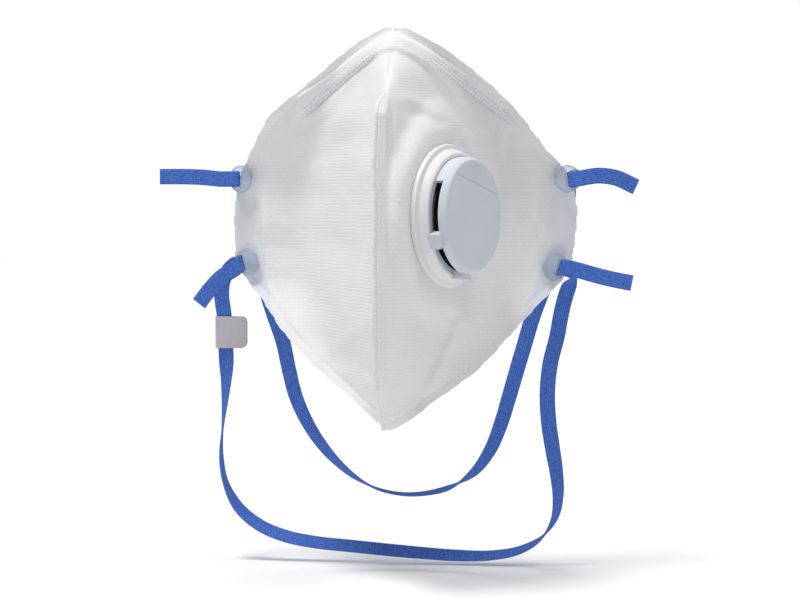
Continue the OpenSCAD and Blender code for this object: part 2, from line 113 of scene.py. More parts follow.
head_right_end = [
    [66.9, -5.3, 19.9, -0.1, 0, 1], [66.9, -6.9, 19.9, -0.1, 0, 1],
    [67.7, -7.8, 19.8, -0.1, 0.1, 1], [69.4, -8.3, 20, -0.2, 0.2, 1],
    [73.6, -8.2, 20.8, -0.1, 0.1, 1], [77.4, -8.1, 21.4, 0, 0, 1], [85, -7.7, 20.7, 0.2, 0, 1],
    [93.6, -7.3, 16.9, 0.4, 0, 1]]
neck_left_end = [
    [-66.5, -5.3, -14.1, -0.25, 0, 1], [-66.5, -6.9, -14.1, -0.25, 0, 1],
    [-67.1, -7.8, -14.6, -0.4, 0, 1], [-69.4, -8.2, -16.6, -0.6, 0, 1],
    [-74.2, -8.2, -19.4, -0.7, 0, 0.9], [-79.4, -7.9, -24.6, -0.8, 0, 0.8],
    [-84.3, -7.4, -30.8, -0.9, 0, 0.6]]
neck_right_end = [
    [63.3, -5.3, -15.5, 0.25, 0, 1], [63.3, -6.9, -15.5, 0.25, 0, 1],
    [64.1, -7.8, -15.3, 0.25, 0, 1], [66.4, -8.2, -15.5, 0.2, 0, 1],
    [70.8, -8.2, -16.5, 0.2, 0, 1], [76, -8.1, -18, 0.2, 0, 1], [84, -7.8, -20, 0.2, 0, 1],
    [92.2, -7.3, -21.6, 0.1, 0, 1]]


def curve_through(knots, values, t):
    """Values at t on the smooth curve through the rows (knot, value): on each span the cubic whose
    slopes at its two ends are those that the neighbouring rows give."""
    knots, values = np.asarray(knots, float), np.asarray(values, float)
    slopes = np.gradient(values, knots, axis=0)
    i = np.clip(np.searchsorted(knots, t) - 1, 0, len(knots) - 2)
    span = knots[i + 1] - knots[i]
    s = np.clip((t - knots[i]) / span, 0, 1)
    if values.ndim > 1:
        span, s = span[..., None], s[..., None]
    return ((2 * s**3 - 3 * s**2 + 1) * values[i] + (s**3 - 2 * s**2 + s) * span * slopes[i]
            + (3 * s**2 - 2 * s**3) * values[i + 1] + (s**3 - s**2) * span * slopes[i + 1])


def unit(v):
    """Each vector divided by its own length."""
    return v / np.linalg.norm(v, axis=-1, keepdims=True)


def mesh_piece(name, points, faces, lay=None, marks=None, dots=None):
    """An object from points in millimetres and faces that turn outwards, smooth shaded. lay, marks
    and dots are three numbers a point, kept as attributes for the materials."""
    used, index = np.unique(np.concatenate([np.ravel(f) for f in faces]), return_inverse=True)
    sizes = [f.shape for f in faces]
    cuts = np.cumsum([a * b for a, b in sizes])[:-1]
    rows = [part.reshape(size).tolist() for part, size in zip(np.split(index, cuts), sizes)]
    mesh = bpy.data.meshes.new(name)
    mesh.from_pydata((points[used] * mm).tolist(), [], [face for group in rows for face in group])
    for label, values in (("lay", lay), ("marks", marks), ("dots", dots)):
        if values is not None:
            layer = mesh.attributes.new(label, "FLOAT_VECTOR", "POINT")
            layer.data.foreach_set("vector", values[used].astype(np.float32).ravel())
    made = bmesh.new()
    made.from_mesh(mesh)
    bmesh.ops.remove_doubles(made, verts=made.verts, dist=1e-6)
    bmesh.ops.recalc_face_normals(made, faces=made.faces)
    made.to_mesh(mesh)
    made.free()
    mesh.polygons.foreach_set("use_smooth", np.ones(len(mesh.polygons), bool))
    mesh.set_sharp_from_angle(angle=math.radians(48))
    piece = bpy.data.objects.new(name, mesh)
    bpy.context.collection.objects.link(piece)
    return piece


def net(rows, columns, wrap_rows=False, wrap_columns=False, first=0):
    """The quads of a net of points numbered row by row: (i, j), (i, j+1), (i+1, j+1), (i+1, j)."""
    i = np.arange(rows if wrap_rows else rows - 1)[:, None]
    j = np.arange(columns if wrap_columns else columns - 1)[None, :]
    corners = [(i, j), (i, j + 1), (i + 1, j + 1), (i + 1, j)]
    return first + np.stack([(a % rows) * columns + b % columns for a, b in corners], -1).reshape(-1, 4)


def strap_line(route, step):
    """Places and width directions every step along the smooth curve through the route's rows."""
    route = np.array(route, float)
    knots = np.r_[0, np.cumsum(np.linalg.norm(np.diff(route[:, :3], axis=0), axis=1))]
    count = int(knots[-1] / step) + 1
    line = curve_through(knots, route, np.linspace(0, knots[-1], count))
    return line[:, :3], line[:, 3:]


def strap_piece(name, route, wale=0.8):
    """A flat band along a route. Its section is a slot shape: two flat faces with lengthwise ribs,
    height = half thickness + 0.035 cos(turn * across / wale), and a half round on each edge."""
    centre, wide = strap_line(route, 0.7)
    along = unit(np.gradient(centre, axis=0))
    wide = unit(wide - np.sum(wide * along, 1)[:, None] * along)
    thick = np.cross(along, wide)
    flat = (strap_width - strap_thick) / 2
    across = np.linspace(-flat, flat, 41)
    ribs = strap_thick / 2 - 0.03 + 0.035 * np.cos(2 * np.pi * across / wale)
    turn = np.linspace(math.pi / 2, -math.pi / 2, 7)[1:-1]
    edge = strap_thick / 2 * np.stack([np.cos(turn), np.sin(turn)], 1)
    section = np.concatenate([np.stack([across, ribs], 1), [[flat, 0]] + edge,
                              np.stack([-across, -ribs], 1), [[-flat, 0]] - edge])
    travel = np.r_[0, np.cumsum(np.linalg.norm(np.diff(centre, axis=0), axis=1))]
    scallop = 1 + 0.012 * np.sin(2 * np.pi * travel / 1.4)
    points = (centre[:, None] + scallop[:, None, None] * section[None, :, :1] * wide[:, None]
              + section[None, :, 1:] * thick[:, None])
    n, m = points.shape[:2]
    lay = np.stack(np.broadcast_arrays(section[None, :, 0], travel[:, None],
                                       np.sign(section[None, :, 1])), -1)
    caps = np.array([np.arange(m)[::-1], (n - 1) * m + np.arange(m)])
    return mesh_piece(name, points.reshape(-1, 3), [net(n, m, wrap_columns=True), caps],
                      lay=lay.reshape(-1, 3)), centre * mm, travel[-1] * mm


def finish(name):
    """A new material with its node tree and its Principled shader."""
    material = bpy.data.materials.new(name)
    material.use_nodes = True
    return material, material.node_tree, material.node_tree.nodes["Principled BSDF"]


def add(tree, kind, inputs=(), **settings):
    """A node of that kind, its settings set, and each named input given a value or a link."""
    made = tree.nodes.new("ShaderNode" + kind)
    for key, value in settings.items():
        setattr(made, key, value)
    for key, value in dict(inputs).items():
        if isinstance(value, bpy.types.NodeSocket):
            tree.links.new(value, made.inputs[key])
        else:
            made.inputs[key].default_value = value
    return made


def math_of(tree, operation, a, b=0.0, c=0.0):
    """The output of a Math node on up to three numbers or sockets."""
    return add(tree, "Math", {0: a, 1: b, 2: c}, operation=operation).outputs[0]


def blend_of(tree, share, a, b):
    """The colour between a and b at that share."""
    made = add(tree, "Mix", {0: share, 6: a, 7: b}, data_type="RGBA")
    return made.outputs[2]


def bump_on(tree, shader, height, distance, strength=1.0):
    """Presses a height into a shader's normal."""
    made = add(tree, "Bump", {"Height": height, "Distance": distance * mm, "Strength": strength})
    tree.links.new(made.outputs[0], shader.inputs["Normal"])


def wave_of(tree, value, period, phase=0.0):
    """Half of 1 + cos(turn * value / period + phase)."""
    turned = math_of(tree, "COSINE", math_of(tree, "MULTIPLY_ADD", value, 2 * math.pi / period, phase))
    return math_of(tree, "MULTIPLY_ADD", turned, 0.5, 0.5)


def elastic_finish():
    """Blue knitted elastic: rows of small stitches across lengthwise ribs, paler on the crowns; the darker
    hollows between them are partly knit colour and partly painted shade.
    """
    material, tree, shader = finish("blue_elastic")
    lay = add(tree, "Attribute", attribute_name="lay")
    split = add(tree, "SeparateXYZ", {0: lay.outputs["Vector"]})
    across, travel = split.outputs[0], split.outputs[1]
    ribs = wave_of(tree, across, 0.8)
    leaning = math_of(tree, "MULTIPLY_ADD", across, 0.9, travel)
    stitches = wave_of(tree, leaning, 0.75)
    weave = math_of(tree, "MULTIPLY", ribs, stitches)
    shade = add(tree, "TexNoise", {"Vector": lay.outputs["Vector"], "Scale": 0.35, "Detail": 3.0})
    speckle = add(tree, "TexNoise", {"Vector": lay.outputs["Vector"], "Scale": 1.7, "Detail": 3.0})
    flecks = math_of(tree, "MULTIPLY_ADD", speckle.outputs["Fac"], 1.7, -0.52)
    # The weave darkens the colour in the hollows between ribs and stitches: partly knit colour, partly painted
    # shade.
    knit_tone_and_painted_shade = math_of(tree, "MULTIPLY_ADD", weave, 0.45, flecks)
    base = blend_of(tree, knit_tone_and_painted_shade, (0.015, 0.058, 0.32, 1), (0.125, 0.28, 0.80, 1))
    worn = math_of(tree, "MULTIPLY", shade.outputs["Fac"], 0.35)
    tree.links.new(blend_of(tree, worn, base, (0.07, 0.16, 0.55, 1)), shader.inputs["Base Color"])
    shader.inputs["Roughness"].default_value = 0.82
    shader.inputs["Specular IOR Level"].default_value = 0.25
    bump_on(tree, shader, weave, 0.12, 0.8)
    return material


elastic = elastic_finish()
head_loop, head_line, head_length = strap_piece("head_strap_elastic", head_route)
neck_loop, neck_line, neck_length = strap_piece("neck_strap_elastic", neck_route)
for end_name, route, side in (("head_strap_left_end", head_left_end, "left_cheek"),
                              ("head_strap_right_end", head_right_end, "right_cheek"),
                              ("neck_strap_left_end", neck_left_end, "left_cheek"),
                              ("neck_strap_right_end", neck_right_end, "right_cheek")):
    free_end, _, _ = strap_piece(end_name + "_elastic", route)
    free_end.data.materials.append(elastic)
    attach(free_end, side)
    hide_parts(end_name)
for loop, body, node in ((head_loop, "head_loop", "head_strap"), (neck_loop, "neck_loop", "neck_strap")):
    loop.data.materials.append(elastic)
    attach(loop, body)
    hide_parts(node)

# The label: one strip of satin-faced paper folded over the neck strap and glued, so its fold is on
# the outer side and its two leaves lie in front of and behind the elastic.
tag_low, tag_high = (np.array(corner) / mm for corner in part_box("strap_tag"))


def label_piece():
    """A sheet bent to a U: leaf, half round, leaf. Its height falls by a quarter circle of 2.4 mm
    towards each leaf's end, and both leaves bow by 0.25 sin(turn) mm."""
    leaf, bend = tag_high[0] - tag_low[0] - 0.9, (tag_high[1] - tag_low[1]) / 2 - 0.05
    run = np.r_[np.linspace(-leaf, 0, 40), np.linspace(0, math.pi * bend, 16)[1:-1],
                math.pi * bend + np.linspace(0, leaf, 40)]
    angle = np.clip(run / bend, 0, math.pi)
    reach = np.where(run < 0, -run, np.maximum(run - math.pi * bend, 0))
    x = reach - bend * np.sin(angle)
    y = -bend * np.cos(angle) + 0.25 * np.sin(reach / leaf * math.pi) * np.where(run < 0, -1, 0.4)
    left = np.clip(2.4 - (leaf - reach), 0, 2.4)
    half = (tag_high[2] - tag_low[2]) / 2 - (2.4 - np.sqrt(2.4**2 - left**2))
    share = np.linspace(-1, 1, 30)
    normal = unit(np.stack([np.gradient(y), -np.gradient(x)], 1))
    middle = (tag_low + tag_high) / 2
    sides = []
    for lift in (0.09, -0.09):
        px = tag_low[0] + bend + 0.2 + x + lift * normal[:, 0]
        py = middle[1] + y + lift * normal[:, 1]
        sides.append(np.stack(np.broadcast_arrays(px[:, None], py[:, None],
                                                  middle[2] + half[:, None] * share), -1))
    n, m = len(run), len(share)
    around = np.r_[np.arange(m), np.arange(1, n) * m + m - 1, (n - 1) * m + np.arange(m - 1)[::-1],
                   np.arange(1, n - 1)[::-1] * m]
    following = np.roll(around, -1)
    rim = np.stack([around, following, following + n * m, around + n * m], 1)
    return mesh_piece("folded_label", np.concatenate(sides).reshape(-1, 3),
                      [net(n, m), net(n, m, first=n * m)[:, ::-1], rim])


def label_finish():
    """Satin paper: off-white with a faint lilac cast, a fine weave and soft creases."""
    material, tree, shader = finish("satin_label")
    place = add(tree, "TexCoord").outputs["Object"]
    mottle = add(tree, "TexNoise", {"Vector": place, "Scale": 600.0, "Detail": 3.0})
    tree.links.new(blend_of(tree, mottle.outputs["Fac"], (0.44, 0.42, 0.45, 1), (0.52, 0.50, 0.53, 1)),
                   shader.inputs["Base Color"])
    grain = add(tree, "TexWave", {"Vector": place, "Scale": 900.0, "Distortion": 1.5})
    crease = add(tree, "TexNoise", {"Vector": place, "Scale": 140.0, "Detail": 2.0})
    height = math_of(tree, "MULTIPLY_ADD", grain.outputs["Fac"], 0.15, crease.outputs["Fac"])
    bump_on(tree, shader, height, 0.25, 0.5)
    shader.inputs["Roughness"].default_value = 0.42
    shader.inputs["Transmission Weight"].default_value = 0.0
    return material


label = label_piece()
label.data.materials.append(label_finish())
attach(label, "neck_loop")
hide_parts("strap_tag")
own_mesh(head_loop)
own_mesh(neck_loop)
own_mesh(label)

# The fabric. Five webs are cut to the same shape and welded together along the front seam and round
# the edge. Every web follows one height field, y = surface(x, z), that is worked out here.
left_edge = [
    [-76, 0.8], [-73.5, 5], [-67.5, 13], [-55.5, 30], [-42, 46.5], [-29, 57.5], [-21.5, 64.6],
    [-14, 69.4], [-7, 70.2], [0, 70.6], [8, 70.4], [16, 69.4], [24, 66.4], [30, 63.2], [38, 58.6],
    [46, 52.6], [55.5, 39.7], [64.8, 26.6], [69.2, 20.6], [75.6, 9.6], [78.2, 4]]
right_edge = [
    [-76, 0.8], [-73.5, 6], [-67.5, 14], [-55.5, 31], [-42, 44], [-29, 56], [-21.5, 63.4],
    [-14, 67.6], [-7, 68.8], [0, 69.6], [8, 70], [16, 68.4], [24, 65.2], [30, 59.4], [38, 53.2],
    [46, 47.2], [55.5, 38], [64.8, 26.8], [69.2, 21], [75.6, 9.8], [78.2, 4]]
edge_depth = [
    [-76, -57], [-67.5, -49], [-55.5, -36], [-42, -21], [-29, -8], [-21.5, -3], [-14, -1.6],
    [0, -1.2], [16, -1.2], [24, -2.8], [30, -6], [38, -11], [46, -16], [55.5, -23], [64.8, -30.5],
    [75.6, -40], [78.2, -42]]
front_depth = [
    [-76, -58.5], [-67.5, -63], [-55.5, -70], [-42, -76.5], [-29, -82], [-14, -86], [0, -87.3],
    [8, -87.4], [16, -86.4], [24, -83.6], [38, -75], [46, -69], [55.5, -61], [64.8, -53],
    [78.2, -42.5]]
side_slope = [[-76, 1.0], [-55.5, 1.5], [-42, 1.62], [-21.5, 1.84], [0, 1.94], [16, 1.92],
              [30, 1.8], [46, 1.6], [55.5, 1.5], [64.8, 1.35], [78.2, 1.1]]
# The smooth curve through fold_radius falls below zero in the long gap between its first two rows,
# to -3.3 at z = 6. That sets the front seam up to 12 mm further back than front_depth says.
fold_radius = [[-76, 0.4], [46, 0.4], [55.5, 2.5], [64.8, 5], [78.2, 7]]
cheek_round = [[-76, 0.6], [-55.5, 3], [-29, 6], [24, 6], [46, 4], [64.8, 2], [78.2, 1]]
valve_at = np.array([21, -46.2, 5.6])
valve_turn, valve_dip, valve_roll = (math.radians(a) for a in (64, -1, -5))
half_seam = 0.7


def read(table, z):
    """The table's second column at z, on the smooth curve through its rows."""
    rows = np.array(table, float)
    return curve_through(rows[:, 0], rows[:, 1], z)


def eased(a, b, value):
    """0 below a, 1 above b, and 3 s^2 - 2 s^3 between them."""
    s = np.clip((value - a) / (b - a), 0, 1)
    return s * s * (3 - 2 * s)


def half_width(x, z):
    """Half width of the opened mask at height z on the side of x, with a slightly uneven cut."""
    return (np.where(x < 0, read(left_edge, z), read(right_edge, z))
            + 0.22 * np.sin(0.9 * z + np.sign(x)) + 0.16 * np.sin(2.1 * z + 2 * np.sign(x)))


def valve_reach(x, z):
    """Distance from the valve's axis, in the plane of its flange."""
    return np.hypot((x - valve_at[0]) / math.cos(valve_turn), z - valve_at[2])


def near(x, z, line, fade=5.0):
    """Distance to a broken line of (x, z), a weight that eases in and out at its two ends, and how
    far along the line the nearest place is."""
    line = np.array(line, float)
    best, run, total = np.full(x.shape, 1e9), np.zeros(x.shape), 0.0
    for a, b in zip(line[:-1], line[1:]):
        length = math.dist(a, b)
        s = np.clip(((x - a[0]) * (b[0] - a[0]) + (z - a[1]) * (b[1] - a[1])) / length**2, 0, 1)
        away = np.hypot(x - a[0] - s * (b[0] - a[0]), z - a[1] - s * (b[1] - a[1]))
        run = np.where(away < best, total + s * length, run)
        best = np.minimum(best, away)
        total += length
    return best, eased(0, fade, run) * eased(0, fade, total - run), run


# Creases and ridges pressed in by packing and wear: a line, its half width and how far it stands.
creases = [
    ([[24.2, -29.8], [19.8, -40], [14.8, -51.5], [10, -62], [5.8, -71.2]], 3.0, -1.0),
    ([[28.6, -31], [24.2, -41], [19.4, -52], [13, -64]], 3.0, 0.9),
    ([[4.2, 73.2], [11, 64], [17.5, 55], [24, 46], [30.2, 37.2]], 2.2, -0.9),
    ([[8.4, 73], [15.6, 64], [22, 55.2], [28, 46]], 2.2, 0.5),
    ([[39.5, 43], [39.8, 36], [39.2, 28]], 1.9, 1.0), ([[43, 42], [43.2, 34], [43, 28]], 1.6, -0.6),
    ([[2.8, 47.5], [9.5, 44.8], [16.2, 42], [22, 40]], 2.4, -0.8),
    ([[2.8, 52], [9.5, 49.6], [17, 46.5]], 2.0, 0.4),
    ([[-44, 37], [-37, 34.5]], 3.6, 1.3), ([[-41, 30], [-33, 31]], 2.6, -0.5),
    ([[-60.5, 21], [-58.8, -4.8], [-57.5, -30]], 1.3, -0.6),
    ([[-57.6, 18], [-56, -5], [-55, -28]], 1.6, 0.4),
    ([[55, 18], [54.2, 5.8], [52.8, -10]], 1.3, -0.6), ([[52, 16], [51.4, 5], [50, -9]], 1.6, 0.4),
    ([[-5, 68], [-15, 56], [-25, 46], [-33, 40]], 2.6, -0.5),
    ([[-8, 41], [-20, 33], [-34, 27]], 3.2, -0.35), ([[-46, 49.5], [-45.5, 40]], 1.1, -0.7),
    ([[45, 50], [45, 41]], 1.1, -0.7), ([[-30, -49], [-20, -60], [-9, -69]], 2.4, -0.5),
    ([[-6, -30], [-20, -44], [-32, -50]], 3.5, 0.35), ([[40, -33], [30, -46], [21, -58]], 2.4, 0.5),
    ([[47, 8], [46, -8], [44, -22]], 2.6, -0.4), ([[4, -20], [9, -36], [8, -52]], 3.0, 0.6),
    ([[36, -34], [31, -44], [24, -55]], 2.6, -0.6), ([[-14, -26], [-12, -42], [-8, -58]], 3.4, -0.5)]
left_moon = [[-13, -70], [-11, -66.8], [-5.5, -63], [1.5, -61.2], [9.5, -63], [15.8, -66.8], [18, -70]]
right_moon = [[-13, 68], [-11, 63.8], [-5.2, 59.5], [0.5, 57.5], [7.8, 58.8], [15.8, 62.2], [18, 68]]
dotted = [[[-41.5, 44.6], [-24.8, 56.2], [-9, 66.8], [-4, 70.4]], [[12, 68.6], [20, 62.2],
    [30.2, 53.8], [45.5, 42]]]


def edge_distance(x, z):
    """Distance in front view from each point to the cut edge."""
    level = np.linspace(-76, 78.2, 260)
    outline = np.concatenate([np.stack([side * half_width(side + 0 * level, level), level], 1)
                              for side in (-1, 1)])
    best = np.full(x.shape, 1e9)
    for px, pz in outline:
        best = np.minimum(best, (x - px)**2 + (z - pz)**2)
    return np.sqrt(best)


def fused(x, z):
    """How much the webs are fused flat: the half moon on each cheek, then the dotted bands, with
    the distances along and across a band for its dots."""
    moon = np.where(x < 0, eased(-0.3, 0.4, read(left_moon, z) - x), eased(-0.3, 0.4, x - read(right_moon, z)))
    moon = moon * (z > -13) * (z < 18)
    bands, along, level = np.zeros(x.shape), np.zeros(x.shape), np.zeros(x.shape)
    for line in dotted:
        away, weight, run = near(x, z, line, 6)
        here = (1 - eased(1.7, 2.2, away)) * weight
        bands = np.maximum(bands, here * (1 - moon))
        along, level = np.where(here > 0, run, along), np.where(here > 0, away, level)
    return moon, bands, np.stack([along, level, 0 * along], -1)


def relief(x, z):
    """Height of creases, welds and unevenness over the smooth shape. A crease of half width w falls
    off as exp(-(distance / w)^2); the edge weld is a narrow trough 3 mm in from the cut."""
    rng = np.random.default_rng(7)
    height = np.zeros(x.shape)
    for _ in range(14):
        turn, length, phase = rng.uniform(0, math.pi), rng.uniform(13, 42), rng.uniform(0, 6.3)
        height += 0.0045 * length * np.sin(
            2 * math.pi / length * (x * math.cos(turn) + z * math.sin(turn)) + phase)
    for line, wide, rise in creases:
        away, weight, _ = near(x, z, line)
        height += rise * weight * np.exp(-(away / wide)**2)
    edge = edge_distance(x, z)
    moon, bands, _ = fused(x, z)
    height -= 0.34 * np.exp(-((edge - 3.1) / 0.75)**2) + 0.25 * moon + 0.3 * bands
    height += 0.5 * np.exp(-(edge / 4.5)**2) * np.sin(0.33 * z + 0.5 * np.sin(0.11 * z) + np.sign(x))
    height -= 0.55 * np.exp(-((x - 1.7) / 1.2)**2) * (1 - eased(44, 54, z)) * eased(-76, -66, z)
    flat = 1 - eased(26, 36, valve_reach(x, z))
    return height * (1 - flat) * eased(0, 6, np.abs(x) + 3.5)


def surface(x, z):
    """Depth of the fabric's face. The side runs back from the front line, the cheek's flange lies
    nearly flat, a hyperbola rounds the bend between them, and round the valve the side is flat."""
    r = read(fold_radius, z)
    side = read(front_depth, z) + read(side_slope, z) * (np.sqrt(x * x + r * r) - r)
    flange = read(edge_depth, z) + 0.12 * (np.abs(x) - half_width(x, z))
    free = (side + flange) / 2 - np.sqrt(((side - flange) / 2)**2 + read(cheek_round, z)**2)
    plane = valve_at[1] + ((x - valve_at[0]) * math.sin(valve_turn)
                           - (z - valve_at[2]) * math.tan(valve_dip)) / math.cos(valve_turn)
    flat = 1 - eased(28.5, 49, valve_reach(x, z))
    return free * (1 - flat) + plane * flat


def shell(front, back, keep=None, wrap=False):
    """Points and faces of a closed solid between two nets of points, without the cells that keep
    drops. Every edge that only one kept cell has becomes a wall between the two nets."""
    n, m = front.shape[:2]
    cells = net(n, m, wrap_columns=wrap)
    if keep is not None:
        cells = cells[keep.ravel()]
    a, b = cells.ravel(), np.roll(cells, -1, axis=1).ravel()
    open_edge = ~np.isin(a * n * m + b, b * n * m + a)
    a, b = a[open_edge], b[open_edge]
    points = np.concatenate([front.reshape(-1, 3), back.reshape(-1, 3)])
    long_enough = np.linalg.norm(points[a] - points[b], axis=1) > 1e-6
    a, b = a[long_enough], b[long_enough]
    return points, [cells, cells[:, ::-1] + n * m, np.stack([b, a, a + n * m, b + n * m], 1)]


def through(x, z):
    """Depth through a web of unit thickness: the square root of 1 + both slopes squared."""
    x = np.where(np.abs(x) < 1.5, np.where(x < 0, -1.5, 1.5), x)
    run = surface(x + 0.5, z) - surface(x - 0.5, z)
    rise = surface(x, np.minimum(z + 0.5, 78.2)) - surface(x, z - 0.5)
    return np.sqrt(1 + run**2 + rise**2)


def fabric_grid(rows, columns):
    """Places (x, z) of a net over the opened mask: straight rows, columns that spread with it."""
    z = np.linspace(-76, 78.2, rows)[:, None]
    share = np.linspace(0, 1, columns)
    halves = [side * (half_seam + (half_width(side + 0 * z, z) - half_seam) * share) for side in (-1, 1)]
    x = np.concatenate([halves[0][:, ::-1], halves[1]], 1)
    return x, np.broadcast_to(z, x.shape)


def cell_kept(x, z, clear):
    """Which cells of a net lie wholly outside the valve's hole."""
    out = valve_reach(x, z) > clear
    return out[:-1, :-1] & out[1:, :-1] & out[:-1, 1:] & out[1:, 1:]


def fabric_lay(x, y, z):
    """Places on the flat web: along the row from the seam, and up the front line."""
    steps = np.hypot(np.diff(x, axis=1), np.diff(y, axis=1))
    run = np.concatenate([np.zeros((len(x), 1)), np.cumsum(steps, 1)], 1)
    middle = x.shape[1] // 2
    level = np.linspace(-76, 78.2, 300)
    climb = np.r_[0, np.cumsum(np.hypot(np.diff(level), np.diff(read(front_depth, level))))]
    return run - run[:, middle:middle + 1], np.interp(z, level, climb)


def pocket(x, z):
    """How far the cover stands off over the nose clip, by the distance below the top edge."""
    drop = 79.6 - 0.62 * np.sqrt(x * x + 16) - z
    return 1.3 * eased(0.2, 2.4, drop) * (1 - eased(6.2, 9.4, drop)) * (1 - eased(38, 43, np.abs(x)))


# The outer cover: spunbond polypropylene, embossed with rows of short dashes. Its two panels meet
# in a welded fin that was trimmed to 5 mm and leans to the wearer's right.
fin_rise = [[-76, 3.2], [-67, 5], [-40, 5.1], [10, 4.9], [42, 5], [48, 4.2], [53, 0.6], [55, 0],
    [78.2, 0]]
fin_half = 0.42


def cover_piece():
    """The face net and the back net of the cover. Its middle columns climb the fin's left side, go
    round its top edge and come down its right side, where three weld lines are pressed in."""
    x, z = fabric_grid(204, 92)
    middle = x.shape[1] // 2
    depth, deep = surface(x, z), through(x, z)
    rise = relief(x, z)
    stand = pocket(x, z)
    lifted = rise * (1 - 0.75 * stand / 1.3) + stand
    face = np.stack([x, depth - lifted * deep, z], -1)
    back = np.stack([x, depth + (0.22 - lifted) * deep, z], -1)
    level = z[:, :1]
    height = read(fin_rise, level) * (1 + 0.025 * np.sin(0.8 * level) + 0.02 * np.sin(1.9 * level))
    up, down = np.linspace(0.1, 0.94, 6), np.linspace(0.94, 0.06, 24)
    tip = np.linspace(0, math.pi, 6)[1:-1]
    climb = np.r_[up, np.full(4, 0.94), down]
    lines = sum(deep * np.exp(-((down - at) / 0.05)**2) for at, deep in ((0.72, 1), (0.42, 0.5), (0.16, 0.4)))
    off = np.r_[-np.ones(6), -np.cos(tip), 1 - 0.5 * lines]
    over = np.r_[np.zeros(6), np.sin(tip), np.zeros(24)]
    reach = climb * height + over * fin_half
    sway = 0.22 * np.sin(0.21 * level) * climb
    spread = np.linspace(-half_seam, half_seam, len(climb) + 2)[1:-1]
    low = surface(spread, level) - pocket(spread, level) * through(spread, level)
    ridge = low[:, len(climb) // 2:len(climb) // 2 + 1]
    fin_x = -0.8 * reach + 0.6 * off * fin_half + sway
    fin_y = ridge - 0.6 * reach - 0.8 * off * fin_half
    grown = eased(0, 1.2, height)
    fin = np.stack([spread + (fin_x - spread) * grown, low + (fin_y - low) * grown,
                    np.broadcast_to(level, fin_x.shape)], -1)
    under = np.stack(np.broadcast_arrays(
        spread, low + 0.22 * through(spread, level), level), -1)
    face = np.concatenate([face[:, :middle], fin, face[:, middle:]], 1)
    back = np.concatenate([back[:, :middle], under, back[:, middle:]], 1)
    wide = np.concatenate([x[:, :middle], np.broadcast_to(spread, fin_x.shape), x[:, middle:]], 1)
    tall = np.broadcast_to(level, wide.shape)
    keep = cell_kept(wide, tall, 16.4)
    u, v = fabric_lay(face[..., 0], face[..., 1], tall)
    moon, bands, dots_at = fused(wide, tall)
    # Painted show-through: the cover's colour is tinted blue below the cheeks where the elastic runs behind
    # it, standing in for light passing through the fabric.
    strap_show_through = np.zeros(wide.shape)
    for line in (head_line, neck_line):
        for px, _, pz in line[::3] / mm:
            if pz < -8:
                strap_show_through = np.maximum(strap_show_through, 1 - eased(2.6, 4.2, np.hypot(wide - px, tall - pz)))
    seam = np.zeros(wide.shape)
    seam[:, middle:middle + len(climb)] = grown
    bands[:, middle:middle + len(climb)] = grown * np.r_[np.zeros(10), 0.6 * lines]
    dots_at[:, middle:middle + len(climb), 0] = level * 0.8
    dots_at[:, middle:middle + len(climb), 1] = 0
    points, faces = shell(face, back, keep)
    lay = np.stack([u, v, seam], -1).reshape(-1, 3)
    marks = np.stack([moon, bands, strap_show_through * (np.abs(wide) > 40)], -1).reshape(-1, 3)
    return mesh_piece("outer_cover_web", points, faces, lay=np.tile(lay, (2, 1)),
                      marks=np.tile(marks, (2, 1)), dots=np.tile(dots_at.reshape(-1, 3), (2, 1)))


